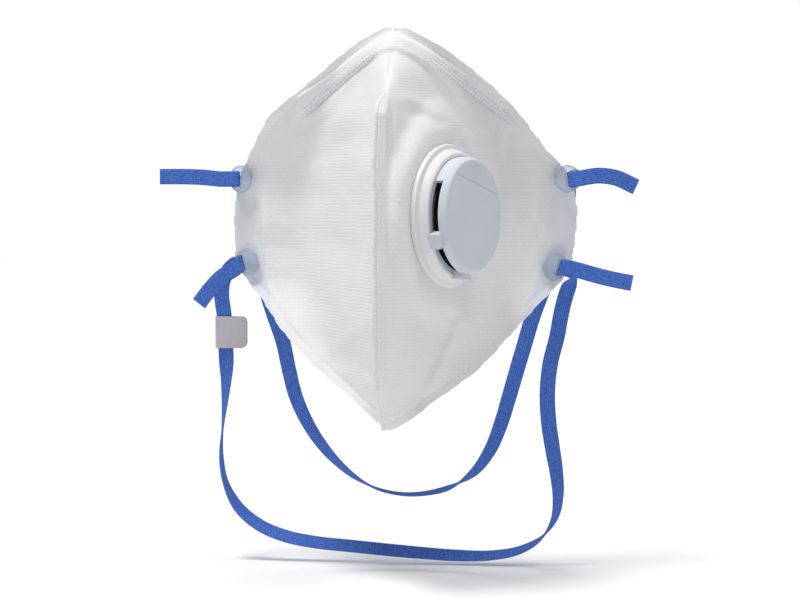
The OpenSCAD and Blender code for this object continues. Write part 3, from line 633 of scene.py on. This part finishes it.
def web_finish(name, colour, row=1.38, dash=2.1, press=0.05):
    """Spunbond web: white fibre with rows of staggered dashes, pressed flat where it is fused."""
    material, tree, shader = finish(name)
    lay = add(tree, "Attribute", attribute_name="lay").outputs["Vector"]
    marks = add(tree, "SeparateXYZ", {0: add(tree, "Attribute", attribute_name="marks").outputs["Vector"]})
    waver = add(tree, "TexNoise", {"Vector": lay, "Scale": 0.12, "Detail": 2.0})
    swayed = add(tree, "VectorMath", {0: waver.outputs["Color"], 1: (0.0, 0.9, 0.0), 2: lay},
                 operation="MULTIPLY_ADD").outputs[0]
    dashes = add(tree, "TexBrick", {"Vector": swayed, "Scale": 1.0, "Mortar Size": 0.30, "Bias": 0.0,
                                    "Mortar Smooth": 1.0, "Brick Width": dash, "Row Height": row})
    split = add(tree, "SeparateXYZ", {0: swayed})
    rows = wave_of(tree, split.outputs[1], row, math.pi)
    fibre = add(tree, "TexNoise", {"Vector": lay, "Scale": 2.6, "Detail": 6.0, "Roughness": 0.75})
    cloud = add(tree, "TexNoise", {"Vector": lay, "Scale": 0.16, "Detail": 4.0})
    dots = add(tree, "TexVoronoi", {"Vector": add(tree, "Attribute", attribute_name="dots").outputs["Vector"],
                                    "Scale": 0.8, "Randomness": 0.0})
    spot = add(tree, "MapRange", {0: dots.outputs["Distance"], 1: 0.20, 2: 0.42, 3: 1.0, 4: 0.0},
               interpolation_type="SMOOTHSTEP").outputs[0]
    pitted = math_of(tree, "MULTIPLY", spot, marks.outputs[1])
    whole = math_of(tree, "SUBTRACT", 1.0, marks.outputs[0])
    ribs = math_of(tree, "MULTIPLY", math_of(tree, "ADD", math_of(tree, "MULTIPLY", rows, 0.5),
                                             math_of(tree, "MULTIPLY", dashes.outputs["Fac"], -0.6)), whole)
    height = math_of(tree, "SUBTRACT", math_of(tree, "MULTIPLY_ADD", fibre.outputs["Fac"], 0.5, ribs),
                     math_of(tree, "MULTIPLY", pitted, 2.6))
    bump_on(tree, shader, height, press, 1.0)
    shade = [tuple(c * s for c, s in zip(colour, tone)) + (1,) for tone in
             ((1, 1, 1), (0.93, 0.935, 0.95), (0.80, 0.81, 0.84), (0.82, 0.84, 0.90), (0.60, 0.70, 0.92),
              (0.62, 0.66, 0.74))]
    clouded = blend_of(tree, math_of(tree, "MULTIPLY", cloud.outputs["Fac"], 0.8), shade[0], shade[1])
    lined = blend_of(tree, math_of(tree, "MULTIPLY", math_of(tree, "MULTIPLY", dashes.outputs["Fac"], whole),
                                   0.36), clouded, shade[2])
    moons = blend_of(tree, math_of(tree, "MULTIPLY", marks.outputs[0], 0.5), lined, shade[3])
    # The third mark is painted show-through: a blue tint where the elastic lies behind the cover.
    show_through_tinted = blend_of(tree, math_of(tree, "MULTIPLY", marks.outputs[2], 0.30), moons, shade[4])
    spotted = blend_of(tree, math_of(tree, "MULTIPLY", pitted, 0.5), show_through_tinted, shade[5])
    tree.links.new(spotted, shader.inputs["Base Color"])
    shader.inputs["Roughness"].default_value = 0.9
    shader.inputs["Specular IOR Level"].default_value = 0.12
    return material


cover = cover_piece()
cover.data.materials.append(web_finish("cover_web", (0.86, 0.858, 0.862)))
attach(cover, "mask_body")
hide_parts("outer_cover")
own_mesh(cover)


# The webs behind the cover: a support web, two electret filter webs and the soft inner lining that
# lies against the face. They are welded to the cover round the edge and along the front.


def inner_web(name, node, top, thick, rows, columns, material, clear=16.4):
    """A web of that thickness whose face lies top below the cover's face, less any pocket."""
    x, z = fabric_grid(rows, columns)
    depth, deep, rise = surface(x, z), through(x, z), relief(x, z)
    draw = eased(0, 5, edge_distance(x, z))
    high = depth - rise * deep + deep * (0.24 + (top - 0.24) * (0.55 + 0.45 * draw))
    piece_points, faces = shell(np.stack([x, high, z], -1), np.stack([x, high + thick * deep, z], -1),
                                cell_kept(x, z, clear))
    u, v = fabric_lay(x, high, z)
    moon, bands, dots_at = fused(x, z)
    lay = np.stack([u, v, 0 * u], -1).reshape(-1, 3)
    marks = np.stack([moon, bands, 0 * moon], -1).reshape(-1, 3)
    web = mesh_piece(name, piece_points, faces, lay=np.tile(lay, (2, 1)), marks=np.tile(marks, (2, 1)),
                     dots=np.tile(dots_at.reshape(-1, 3), (2, 1)))
    web.data.materials.append(material)
    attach(web, "mask_body")
    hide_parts(node)
    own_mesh(web)
    return web


inner_web("support_web", "support_layer", 0.40, 0.20, 110, 50,
          web_finish("support_web", (0.80, 0.82, 0.85), press=0.1))
inner_web("filter_web_front", "filter_layer_front", 0.72, 0.22, 110, 50,
          web_finish("filter_web_front", (0.84, 0.84, 0.82), row=0.9, dash=0.9, press=0.1))
inner_web("filter_web_back", "filter_layer_back", 1.06, 0.22, 110, 50,
          web_finish("filter_web_back", (0.83, 0.84, 0.83), row=0.9, dash=0.9, press=0.1))
inner_web("lining_web", "inner_lining", 1.42, 0.26, 190, 86,
          web_finish("lining_web", (0.87, 0.87, 0.88), row=1.1, dash=1.1, press=0.15))

# The nose clip: a soft aluminium strip with rounded edges, loose in the pocket behind the cover.


def nose_band(name, reach, high, wide, middle_at, half_thick, edge_round, count):
    """A strip along the top edge. Its section is a rounded bar, wide down the mask and thick across
    it: (wide / 2 cos a, half_thick sin a), each raised to a small power to square it up."""
    x = np.linspace(-reach, reach, count)[:, None]
    a = np.linspace(0, 2 * math.pi, 25)[:-1]
    power = lambda v: np.sign(v) * np.abs(v)**edge_round
    drop = high + wide / 2 - wide / 2 * power(np.cos(a))
    taper = (1 - np.abs(x / reach)**14)**0.5
    z = 79.6 - 0.62 * np.sqrt(x * x + 16) - high - wide / 2 + (high + wide / 2 - drop) * (0.15 + 0.85 * taper)
    deep = through(x, z)
    y = surface(x, z) + deep * (middle_at - half_thick * (0.3 + 0.7 * taper) * power(np.sin(a)))
    x = np.broadcast_to(x, y.shape)
    n, m = y.shape
    caps = np.array([np.arange(m)[::-1], (n - 1) * m + np.arange(m)])
    lay = np.stack([x, z, 0 * x], -1).reshape(-1, 3)
    return mesh_piece(name, np.stack([x, y, z], -1).reshape(-1, 3), [net(n, m, wrap_columns=True), caps],
                      lay=lay)


def metal_finish():
    """Rolled aluminium: fine lines along the strip."""
    material, tree, shader = finish("rolled_aluminium")
    shader.inputs["Base Color"].default_value = (0.78, 0.79, 0.81, 1)
    shader.inputs["Metallic"].default_value = 1.0
    shader.inputs["Roughness"].default_value = 0.34
    lay = add(tree, "Attribute", attribute_name="lay")
    stretched = add(tree, "VectorMath", {0: lay.outputs["Vector"], 1: (0.05, 6.0, 1.0)}, operation="MULTIPLY")
    lines = add(tree, "TexNoise", {"Vector": stretched.outputs[0], "Scale": 1.0, "Detail": 4.0})
    bump_on(tree, shader, lines.outputs["Fac"], 0.03, 0.6)
    return material


clip = nose_band("nose_clip_strip", 35.6, 2.4, 3.8, -0.6, 0.3, 0.35, 90)
clip.data.materials.append(metal_finish())
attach(clip, "mask_body")
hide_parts("nose_clip")
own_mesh(clip)

# The nose foam: a die-cut strip of soft open-cell foam, glued inside along the nose.


def foam_finish():
    """Grey open-cell foam: small pits of two sizes, the larger ones darkened as painted shade."""
    material, tree, shader = finish("soft_foam")
    lay = add(tree, "Attribute", attribute_name="lay")
    cells = add(tree, "TexVoronoi", {"Vector": lay.outputs["Vector"], "Scale": 2.6})
    small = add(tree, "TexVoronoi", {"Vector": lay.outputs["Vector"], "Scale": 6.0})
    height = math_of(tree, "MULTIPLY_ADD", small.outputs["Distance"], 0.5, cells.outputs["Distance"])
    # Painted shade: the colour darkens towards the centre of each larger pit, following the bump's depth.
    tree.links.new(blend_of(tree, cells.outputs["Distance"], (0.56, 0.57, 0.60, 1), (0.78, 0.79, 0.81, 1)),
                   shader.inputs["Base Color"])
    shader.inputs["Roughness"].default_value = 0.95
    bump_on(tree, shader, height, 0.4, 0.9)
    return material


foam = nose_band("nose_foam_strip", 33.8, 3.1, 9.8, 4.6, 1.45, 0.55, 110)
foam.data.materials.append(foam_finish())
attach(foam, "mask_body")
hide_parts("nose_foam")
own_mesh(foam)

# The valve's base: an injection-moulded ring in glossy white polypropylene. Its flange is welded to
# the cover, its spigot passes through the hole, and spokes hold the flap's seat.


def at_valve(points):
    """Turns and moves points from the valve's own frame: z out of the fabric, y up."""
    roll, tip = valve_roll, math.pi / 2 + valve_dip
    spin = np.array([[math.cos(roll), -math.sin(roll), 0], [math.sin(roll), math.cos(roll), 0], [0, 0, 1]])
    tilt = np.array([[1, 0, 0], [0, math.cos(tip), -math.sin(tip)], [0, math.sin(tip), math.cos(tip)]])
    turn = np.array([[math.cos(valve_turn), -math.sin(valve_turn), 0],
                     [math.sin(valve_turn), math.cos(valve_turn), 0], [0, 0, 1]])
    return points @ (turn @ tilt @ spin).T + valve_at


def rounded(profile, steps=5):
    """A profile of (radius, height, corner radius) with each corner replaced by a parabolic arc."""
    rows = np.array(profile, float)
    out = [rows[:1, :2]]
    for before, corner, after in zip(rows[:-2], rows[1:-1], rows[2:]):
        back, ahead = before[:2] - corner[:2], after[:2] - corner[:2]
        cut = min(corner[2], 0.48 * np.linalg.norm(back), 0.48 * np.linalg.norm(ahead))
        start, end = corner[:2] + unit(back) * cut, corner[:2] + unit(ahead) * cut
        t = np.linspace(0, 1, steps)[:, None]
        out.append((1 - t)**2 * start + 2 * t * (1 - t) * corner[:2] + t**2 * end)
    return np.concatenate(out + [rows[-1:, :2]])


def turned(profile, count=180):
    """A profile of (radius, height) turned about the z axis, as a net of rows round the axis."""
    a = np.linspace(0, 2 * math.pi, count + 1)[:-1]
    return np.stack(np.broadcast_arrays(profile[:, :1] * np.sin(a), profile[:, :1] * np.cos(a),
                                        profile[:, 1:]), -1)


def closed_ring(profile, count=180):
    """A solid of revolution from a profile that comes back to its start."""
    points = turned(rounded(profile)[:-1], count)
    n, m = points.shape[:2]
    return points.reshape(-1, 3), [net(n, m, wrap_rows=True, wrap_columns=True)]


def plastic_finish(name, colour, rough, bump=0.02):
    """Moulded polypropylene: faint flow marks and a soft sheen."""
    material, tree, shader = finish(name)
    place = add(tree, "TexCoord").outputs["Object"]
    flow = add(tree, "TexNoise", {"Vector": place, "Scale": 90.0, "Detail": 3.0})
    grain = add(tree, "TexNoise", {"Vector": place, "Scale": 1500.0, "Detail": 2.0})
    pale, dim = tuple(colour) + (1,), tuple(c * 0.93 for c in colour) + (1,)
    tree.links.new(blend_of(tree, flow.outputs["Fac"], pale, dim), shader.inputs["Base Color"])
    tree.links.new(math_of(tree, "MULTIPLY_ADD", flow.outputs["Fac"], 0.12, rough - 0.06),
                   shader.inputs["Roughness"])
    bump_on(tree, shader, math_of(tree, "MULTIPLY_ADD", grain.outputs["Fac"], 0.4, flow.outputs["Fac"]),
            bump, 0.6)
    shader.inputs["Subsurface Weight"].default_value = 0.08
    shader.inputs["Subsurface Scale"].default_value = 0.001
    return material


def joined(pieces):
    """Points and faces of several pieces as one list."""
    points, faces, total = [], [], 0
    for piece_points, piece_faces in pieces:
        points.append(piece_points)
        faces += [f + total for f in piece_faces]
        total += len(piece_points)
    return np.concatenate(points), faces


def bar(low, high):
    """A box between two corners, its long edges chamfered."""
    low, high = np.array(low, float), np.array(high, float)
    c = 0.35 * np.minimum(1, (high - low)[1:] / 1.4)
    signs = np.array([[1, 0], [-1, 0], [0, 1], [0, -1], [-1, 0], [1, 0], [0, -1], [0, 1]])
    ends = np.array([[0, 0], [1, 0], [1, 0], [1, 1], [1, 1], [0, 1], [0, 1], [0, 0]])
    section = low[1:] + ends * (high - low)[1:] + signs * c
    points = np.concatenate([np.column_stack([np.full(8, x), section]) for x in (low[0], high[0])])
    i = np.arange(8)
    return points, [np.stack([i, (i + 1) % 8, (i + 1) % 8 + 8, i + 8], 1),
                    np.array([i[::-1], i + 8])]


def turn_about(piece, angle):
    """A piece turned about the z axis."""
    points, faces = piece
    c, s = math.cos(angle), math.sin(angle)
    return points @ np.array([[c, s, 0], [-s, c, 0], [0, 0, 1]]), faces


def valve_part(name, node, body, pieces, material):
    """An object from pieces drawn in the valve's frame."""
    points, faces = joined(pieces)
    part = mesh_piece(name, at_valve(points), faces)
    part.data.materials.append(material)
    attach(part, body)
    if node:
        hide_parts(node)
    return part


white_plastic = plastic_finish("white_plastic", (0.79, 0.785, 0.79), 0.38)
base_profile = [
    [13.6, -3.5, 0], [15.7, -3.5, 0.2], [15.7, 0.5, 0.1], [24.6, 0.5, 0.2], [26.4, 0.05, 0.15],
    [27.55, 0.05, 0.15], [27.75, 0.9, 0.4], [27.5, 2.1, 0.7], [26.2, 2.35, 0.6], [25.6, 2.6, 0.5],
    [24.9, 4.4, 1.2],
    [24.1, 5.75, 0.9], [22.9, 5.9, 0.4], [22.62, 5.6, 0.1], [22.6, 1.9, 0.3], [14.8, 1.9, 0.3],
    [14.4, 3.0, 0.2], [13.6, 3.0, 0.2], [13.6, -3.5, 0]]
spokes = [turn_about(bar([2, -0.6, -1.2],
    [13.9, 0.6, 0.8]), math.radians(30 + 60 * k)) for k in range(6)]
hub = closed_ring([[0.9, -1.4, 0], [2.4, -1.4, 0.2], [2.4, 2.0, 0.3], [0.9, 2.0, 0.2],
                   [0.9, -1.4, 0]], 48)
valve_part("valve_base_moulding", "valve_base", "valve_body",
           [closed_ring(base_profile)] + spokes + [hub], white_plastic)
valve_part("valve_ring_moulding", "valve_inner_ring", "valve_body",
           [closed_ring([[15.8, -3.5, 0], [20.6, -3.5, 0.3], [21, -3.2, 0.3], [20.9, -2.35, 0.3],
                         [15.8, -2.3, 0.1], [15.8, -3.5, 0]])], white_plastic)

# The valve's cover: a snapped-on cap in duller plastic, open at the side between its posts. Its colour,
# darker and bluer than the base's, is painted shade. Its face has a fold across the top, above the line
# where the flap is held.
windows = [[52, 121], [130, 176], [187, 236], [248, 302]]


def cap_moulding():
    """The outer and the inner profile turned as one shell, with the cells inside a window left out.
    The face sinks by 0.25 mm (1 - (radius / 21)^2) and drops away above its fold."""
    levels = np.array([[22.55, h] for h in (2.0, 3.6, 5.9, 6.5, 7.2, 7.9, 8.6, 9.3)])
    crown = rounded([[22.55, 9.35, 0], [22.2, 10.3, 0.5], [21.75, 11.2, 0.6], [21.1, 12.05, 0.9],
                     [19.2, 12.3, 0.8], [18.4, 12.3, 0]], 6)
    face = np.stack([np.linspace(18.2, 0, 60), np.full(60, 12.3)], 1)
    profile = np.concatenate([levels, crown, face])
    thin = np.concatenate([np.stack([np.full(8, 21.1), levels[:, 1]], 1),
                           np.stack([np.minimum(crown[:, 0] - 0.9, 21.1),
                                     np.minimum(crown[:, 1] - 0.6, 11.0)], 1),
                           np.stack([face[:, 0] * 0.97, face[:, 1] - 1.3], 1)])
    count = 240
    front, back = turned(profile, count), turned(thin, count)
    lean, reach = math.radians(9), np.hypot(front[..., 0], front[..., 1])
    upward = front[..., 1] * math.cos(lean) + front[..., 0] * math.sin(lean) - 12.6
    on_face = 1 - eased(19.6, 21.4, reach)
    front[..., 2] -= on_face * (0.25 * (1 - (reach / 21)**2) + 0.24 * np.maximum(upward, 0)
                                + 0.7 * np.exp(-(upward / 0.45)**2))
    middle = (np.degrees(np.linspace(0, 2 * math.pi, count + 1)[:-1]) + 180 / count)[None, :]
    height = (profile[:-1, 1] + profile[1:, 1])[:, None] / 2
    side = (np.arange(len(profile) - 1) < len(levels) - 1)[:, None] & (height > 5.9)
    in_window = sum((middle > a) & (middle < b) for a, b in windows).astype(bool)
    return shell(front, back, ~(side & in_window), wrap=True)


def lug(angle, wide, outer, low, high):
    """A rounded block that joins the rim to the cap where a post stands."""
    points, faces = bar([21.2, -wide / 2, low], [outer, wide / 2, high])
    points[:, 2] -= 0.5 * np.maximum(points[:, 0] - outer + 0.1, 0) * (points[:, 2] > (low + high) / 2)
    return turn_about((points, faces), math.radians(90 - angle))


cap_pieces = [cap_moulding(), bar([-7, 12.95, 3.7], [7, 14.3, 11.2]), lug(242, 6.0, 24.5, 4.6, 9.9),
              lug(181.5, 7.0, 24.3, 4.6, 9.9), lug(125.5, 3.6, 24.0, 4.6, 9.8)]
# The cap's darker, bluer grey colour is painted shade, standing in for the shade on the cap's face.
cap_plastic_painted_shade = plastic_finish("cap_plastic_painted_shade", (0.64, 0.665, 0.72), 0.6, 0.05)
valve_part("valve_cap_moulding", "valve_cover", "valve_body", cap_pieces, cap_plastic_painted_shade)

# The flap: a thin disc of black rubber, held along its straight top edge so that it lifts off the
# seat as the wearer breathes out. A border of the same rubber is clamped round the seat.


def rubber_finish():
    """Dull black rubber with a faint bloom."""
    material, tree, shader = finish("black_rubber")
    place = add(tree, "TexCoord").outputs["Object"]
    bloom = add(tree, "TexNoise", {"Vector": place, "Scale": 350.0, "Detail": 4.0})
    tree.links.new(blend_of(tree, bloom.outputs["Fac"], (0.006, 0.006, 0.008, 1), (0.02, 0.02, 0.024, 1)),
                   shader.inputs["Base Color"])
    shader.inputs["Roughness"].default_value = 0.55
    bump_on(tree, shader, bloom.outputs["Fac"], 0.02, 0.5)
    return material


def flap_moulding():
    """Concentric rings of points, flattened where they pass the hinge line: y = min(y, 12.8)."""
    radius = np.r_[np.linspace(0, 14.6, 16), 14.95, 15.12, 15.2]
    fall = np.r_[np.zeros(16), 0.03, 0.1, 0.25]
    high = turned(np.stack([radius, 3.53 - fall], 1), 120)
    low = turned(np.stack([radius, np.full(len(radius), 3.03)], 1), 120)
    for side in (high, low):
        side[..., 1] = np.minimum(side[..., 1], 12.8)
    return shell(high, low, wrap=True)


black_rubber = rubber_finish()
valve_part("flap_rubber_disc", "valve_diaphragm", "valve_flap", [flap_moulding()],
           black_rubber)
valve_part("flap_rubber_border", None, "valve_body",
           [closed_ring([[15.1, 1.95, 0], [22.5, 1.95, 0], [22.5, 2.5, 0.1], [15.1, 2.5, 0.1],
                                   [15.1, 1.95, 0]])], black_rubber)

# The buckles: four injection-moulded oval discs of clear bluish polypropylene, welded to the cheeks
# along their inboard side. The elastic comes round the mask's edge and out through each one's slot.


def clear_finish():
    """Cloudy bluish plastic that lets some light through."""
    material, tree, shader = finish("clear_blue_plastic")
    place = add(tree, "TexCoord").outputs["Object"]
    cloud = add(tree, "TexNoise", {"Vector": place, "Scale": 260.0, "Detail": 3.0})
    tree.links.new(blend_of(tree, cloud.outputs["Fac"], (0.74, 0.84, 1.0, 1), (0.86, 0.92, 1.0, 1)),
                   shader.inputs["Base Color"])
    shader.inputs["Roughness"].default_value = 0.16
    shader.inputs["Transmission Weight"].default_value = 0.72
    shader.inputs["IOR"].default_value = 1.45
    bump_on(tree, shader, cloud.outputs["Fac"], 0.03, 0.5)
    return material


def plate_points(outline, slot, thick, soft):
    """A plate with a slot and soft edges, from a flat curve that Blender fills and bevels."""
    curve = bpy.data.curves.new("plate", "CURVE")
    curve.dimensions, curve.fill_mode = "2D", "BOTH"
    curve.extrude, curve.bevel_depth, curve.bevel_resolution = thick / 2 - soft, soft, 3
    curve.offset = -soft
    for loop in (outline, slot):
        spline = curve.splines.new("POLY")
        spline.points.add(len(loop) - 1)
        spline.points.foreach_set("co", np.column_stack(
            [loop, np.zeros(len(loop)), np.ones(len(loop))]).ravel())
        spline.use_cyclic_u = True
    holder = bpy.data.objects.new("plate", curve)
    mesh = bpy.data.meshes.new_from_object(holder)
    points = np.empty(len(mesh.vertices) * 3)
    mesh.vertices.foreach_get("co", points)
    faces = [np.array([list(p.vertices)]) for p in mesh.polygons]
    bpy.data.objects.remove(holder)
    bpy.data.curves.remove(curve)
    bpy.data.meshes.remove(mesh)
    return points.reshape(-1, 3), faces


def buckle_piece(name, node, body, centre, wide, slot_at, out, tilt):
    """An oval plate with a slot; a raised rim follows the oval, and a lip runs along the slot."""
    b = np.linspace(0, 2 * math.pi, 73)[:-1]
    oval = np.stack([wide / 2 * np.cos(b), 5.6 * np.sin(b)], 1)
    c = np.linspace(0, 2 * math.pi, 33)[:-1]
    slot = np.stack([slot_at + 0.75 * np.sign(np.cos(c)) * np.abs(np.cos(c))**0.4,
                     3.5 * np.sign(np.sin(c)) * np.abs(np.sin(c))**0.3], 1)
    plate, faces = plate_points(oval, slot, 1.3, 0.3)
    rim, rim_faces = closed_ring([[0.86, 1.1, 0], [0.88, 1.6, 0.02], [0.96, 1.6, 0.02], [0.98, 1.1, 0],
                                  [0.86, 1.1, 0]], 96)
    lip = bar([slot_at - 1.15, -3.3, 1.1], [slot_at - 0.75, 3.3, 1.75])
    points, faces = joined([(plate + [0, 0, 0.65], faces), (rim * [wide / 2, 5.6, 1], rim_faces), lip])
    points = points * [out, 1, 1]
    c, s = math.cos(math.radians(tilt)), math.sin(math.radians(tilt))
    spun = np.stack([points[:, 0] * c + points[:, 1] * s, -5.4 - points[:, 2],
                     -points[:, 0] * s + points[:, 1] * c], 1)
    buckle = mesh_piece(name, spun + [centre[0], 0, centre[1]], faces)
    buckle.data.materials.append(clear_plastic)
    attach(buckle, body)
    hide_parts(node)


clear_plastic = clear_finish()
buckle_piece("buckle_upper_left", "strap_buckle_upper_left", "left_cheek", (-67.0, 20.2), 9.2, 0.6, -1, 0)
buckle_piece("buckle_upper_right", "strap_buckle_upper_right", "right_cheek", (66.2, 20.2), 10.6, 0.5, 1, 0)
buckle_piece("buckle_lower_left", "strap_buckle_lower_left", "left_cheek", (-64.4, -13.6), 9.2, 1.9, -1, -14)
buckle_piece("buckle_lower_right", "strap_buckle_lower_right", "right_cheek", (61.5, -15.2), 9.8, 1.5, 1, 14)

# The studio: a round bowl of white paper, its floor turning up into a wall all round the mask, a
# large soft light above and to the left, a weaker one on the right and one washing the wall.
floor_level = -139.5
sweep_turn = np.linspace(0, math.pi / 2, 16)
sweep_out = np.r_[np.linspace(0, 1.4, 8), 1.5 + 0.8 * np.sin(sweep_turn), 2.3][:, None] / mm
sweep_rise = np.r_[np.zeros(8), 0.8 - 0.8 * np.cos(sweep_turn), 2.4][:, None] / mm
sweep_round = np.linspace(0, 2 * math.pi, 96, endpoint=False)
sweep_points = np.stack(np.broadcast_arrays(sweep_out * np.cos(sweep_round), sweep_out * np.sin(sweep_round),
                                            sweep_rise + floor_level), -1).reshape(-1, 3)
sweep = mesh_piece("paper_sweep", sweep_points, [net(len(sweep_out), 96, wrap_columns=True)])
paper, paper_tree, paper_shader = finish("white_paper")
paper_grain = add(paper_tree, "TexNoise", {"Vector": add(paper_tree, "TexCoord").outputs["Object"],
                                           "Scale": 30.0, "Detail": 3.0})
paper_tree.links.new(blend_of(paper_tree, paper_grain.outputs["Fac"], (0.90, 0.90, 0.91, 1),
                              (0.93, 0.93, 0.93, 1)), paper_shader.inputs["Base Color"])
paper_shader.inputs["Roughness"].default_value = 0.9
sweep.data.materials.append(paper)


def soft_light(name, place, aim, size, power):
    """An area light at a place, turned to face another."""
    lamp_data = bpy.data.lights.new(name, "AREA")
    lamp_data.shape, lamp_data.size, lamp_data.energy = "DISK", size, power
    lamp = bpy.data.objects.new(name, lamp_data)
    lamp.location = place
    lamp.rotation_mode = "QUATERNION"
    lamp.rotation_quaternion = (Vector(aim) - Vector(place)).to_track_quat("-Z", "Y")
    bpy.context.collection.objects.link(lamp)


soft_light("key", (-0.34, -0.34, 1.2), (0, -0.03, 0), 0.42, 12.0)
soft_light("fill", (0.55, -0.3, 1.25), (0, -0.03, 0), 0.5, 4.4)
soft_light("backdrop", (0, 0.8, 1.6), (0, 2.3, 0.5), 1.0, 22.0)
world = bpy.data.worlds.new("studio")
world.use_nodes = True
world.node_tree.nodes["Background"].inputs["Color"].default_value = (1.0, 0.985, 0.98, 1)
world.node_tree.nodes["Background"].inputs["Strength"].default_value = 0.17
bpy.context.scene.world = world
bpy.context.scene.view_settings.view_transform = "Standard"
